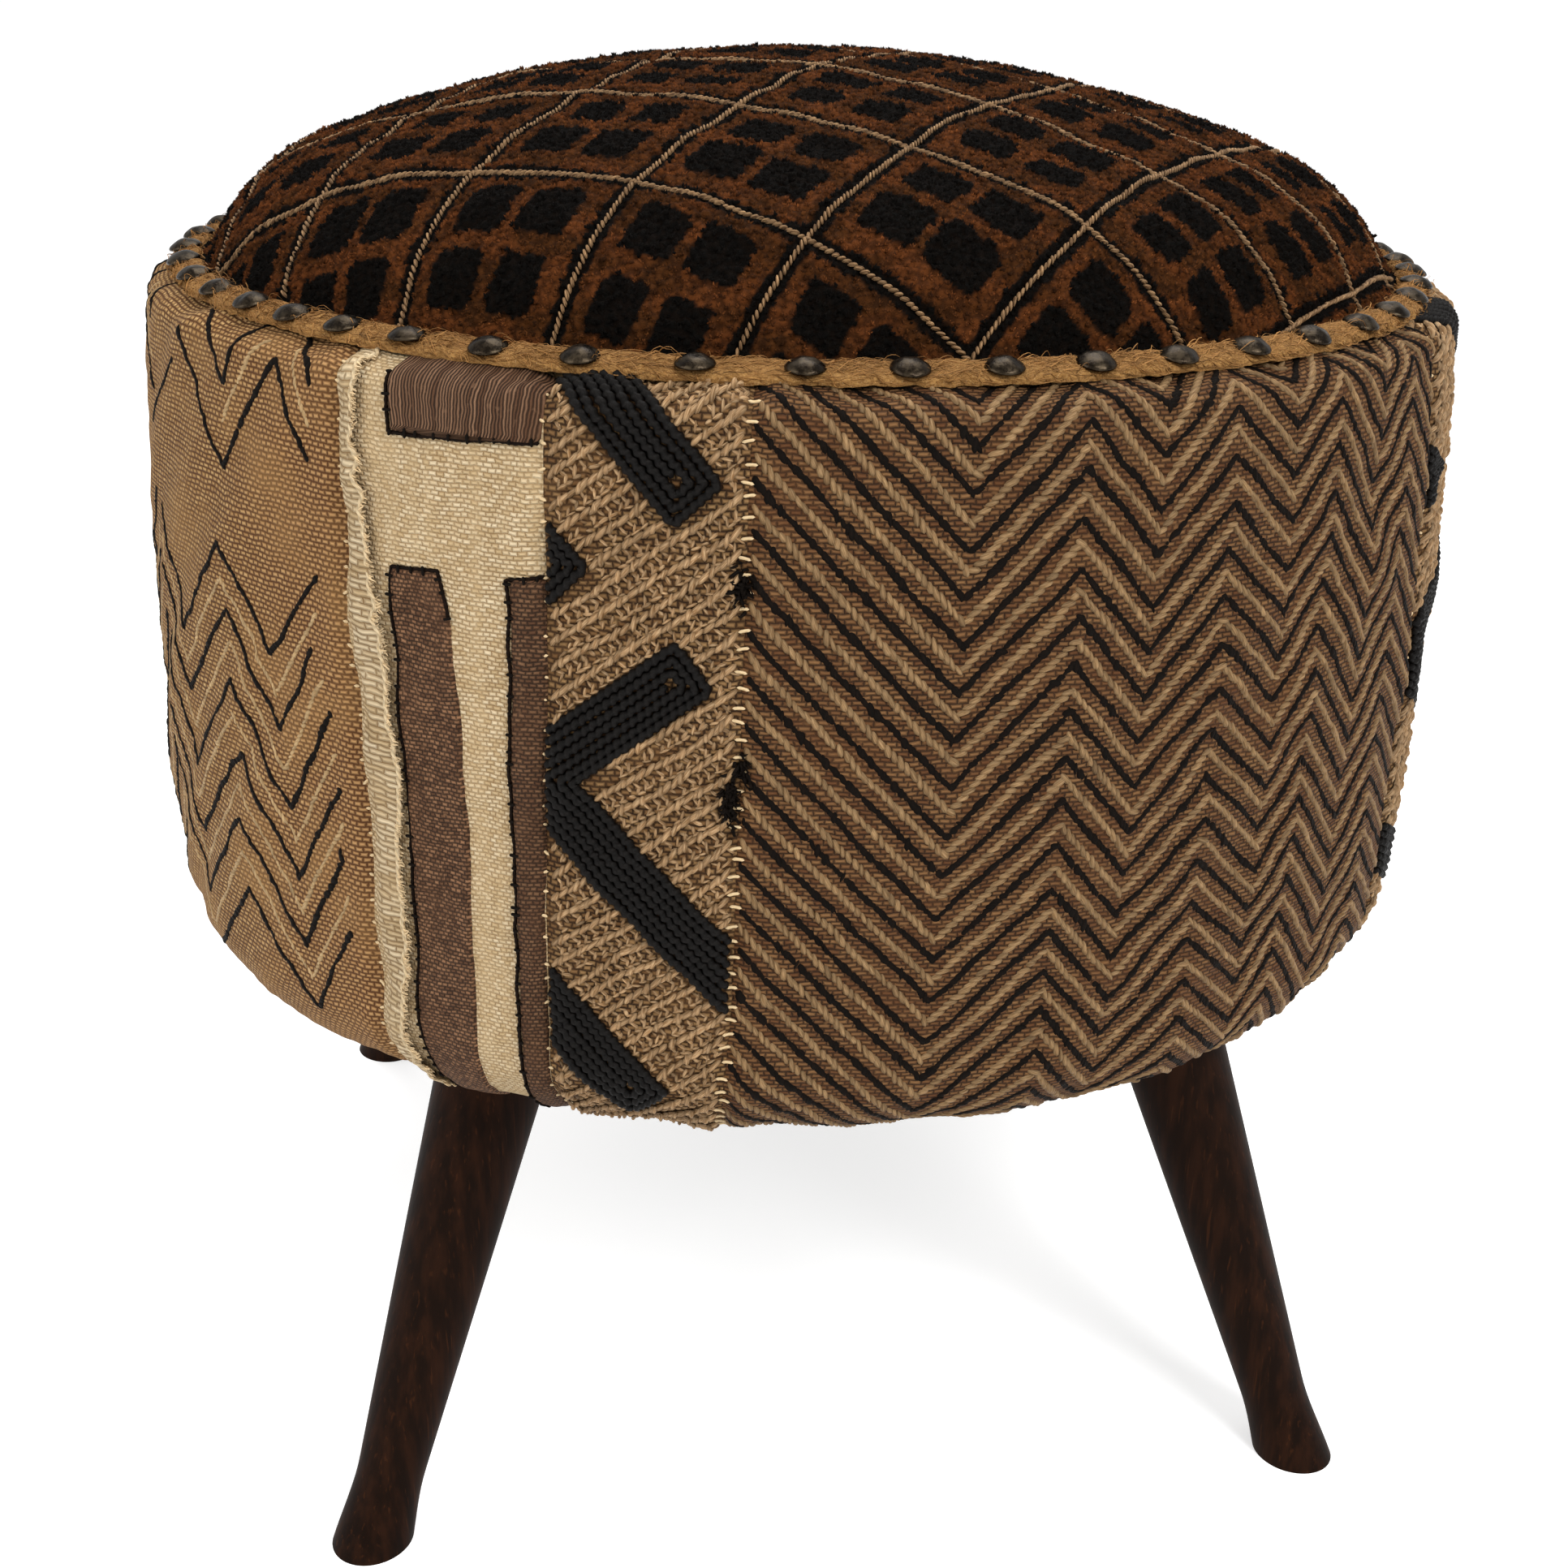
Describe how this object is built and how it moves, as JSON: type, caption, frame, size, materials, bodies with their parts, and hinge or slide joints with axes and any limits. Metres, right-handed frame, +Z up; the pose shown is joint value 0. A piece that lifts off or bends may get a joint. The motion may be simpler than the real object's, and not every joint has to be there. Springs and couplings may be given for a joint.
{
  "type": "footstool",
  "caption": "Round padded footstool with a domed pile seat, patchwork raffia sides, a nailed jute band and splayed turned legs.",
  "frame": {"origin": "on the floor, under the centre of the drum", "axes": "+Z up; -Y is the front, where the cream and knotted panels are; +X is to the right seen from the front"},
  "size_m": [0.4136, 0.4132, 0.4286],
  "materials": {
    "raffia_tan": "plain weave raffia with black and pale embroidered zigzags, matt",
    "raffia_cream": "basket weave undyed raffia, soft sheen",
    "raffia_knotted": "basket weave raffia under rows of raised twisted stitches, matt",
    "raffia_chevron": "brown basket weave with raised pale and black chevron stitching",
    "raffia_brown": "brown dyed raffia patch with a black couched edge",
    "rope_black": "couched black raffia rope, dull",
    "raffia_pile": "cut pile in rust brown and black with cream stitched diamonds",
    "jute": "hairy jute tape",
    "nail_bronze": "antique bronze, mottled, low gloss",
    "leg_wood": "dark stained beech, satin",
    "post_wood": "planed softwood",
    "plywood": "bare plywood",
    "hardboard": "bare hardboard",
    "foam": "upholstery foam",
    "wadding": "polyester wadding",
    "dust_cloth": "black non-woven cloth",
    "plate_steel": "black painted steel",
    "fastener_steel": "zinc plated steel"
  },
  "bodies": {
    "root": {"band_nails": "nail_bronze", "base_board": "plywood", "drum_wall": "hardboard", "dust_cover": "dust_cloth", "hem_staples": "fastener_steel", "jute_band": "jute", "leg_back_left": "leg_wood", "leg_back_right": "leg_wood", "leg_bolts": "fastener_steel", "leg_front_left": "leg_wood", "leg_front_right": "leg_wood", "leg_plate_back_left": "plate_steel", "leg_plate_back_right": "plate_steel", "leg_plate_front_left": "plate_steel", "leg_plate_front_right": "plate_steel", "leg_screws": "fastener_steel", "panel_chevron_back": "raffia_chevron", "panel_chevron_front": "raffia_chevron", "panel_cream_back": "raffia_cream", "panel_cream_front": "raffia_cream", "panel_knotted_back": "raffia_knotted", "panel_knotted_front": "raffia_knotted", "panel_knotted_right": "raffia_knotted", "panel_tan_back": "raffia_tan", "panel_tan_left": "raffia_tan", "patch_edge_back": "raffia_brown", "patch_edge_front": "raffia_brown", "patch_long_back": "raffia_brown", "patch_long_front": "raffia_brown", "patch_top_back": "raffia_brown", "patch_top_front": "raffia_brown", "pile_cover": "raffia_pile", "post_1": "post_wood", "post_2": "post_wood", "post_3": "post_wood", "post_4": "post_wood", "post_5": "post_wood", "post_6": "post_wood", "post_screws": "fastener_steel", "rope_bars_back": "rope_black", "rope_bars_front": "rope_black", "rope_bars_right": "rope_black", "seat_foam": "foam", "seat_wadding": "wadding", "selvedge_fold_back": "raffia_cream", "selvedge_fold_front": "raffia_cream", "side_padding": "foam", "top_board": "plywood", "wall_staples": "fastener_steel"}
  },
  "joints": []
}
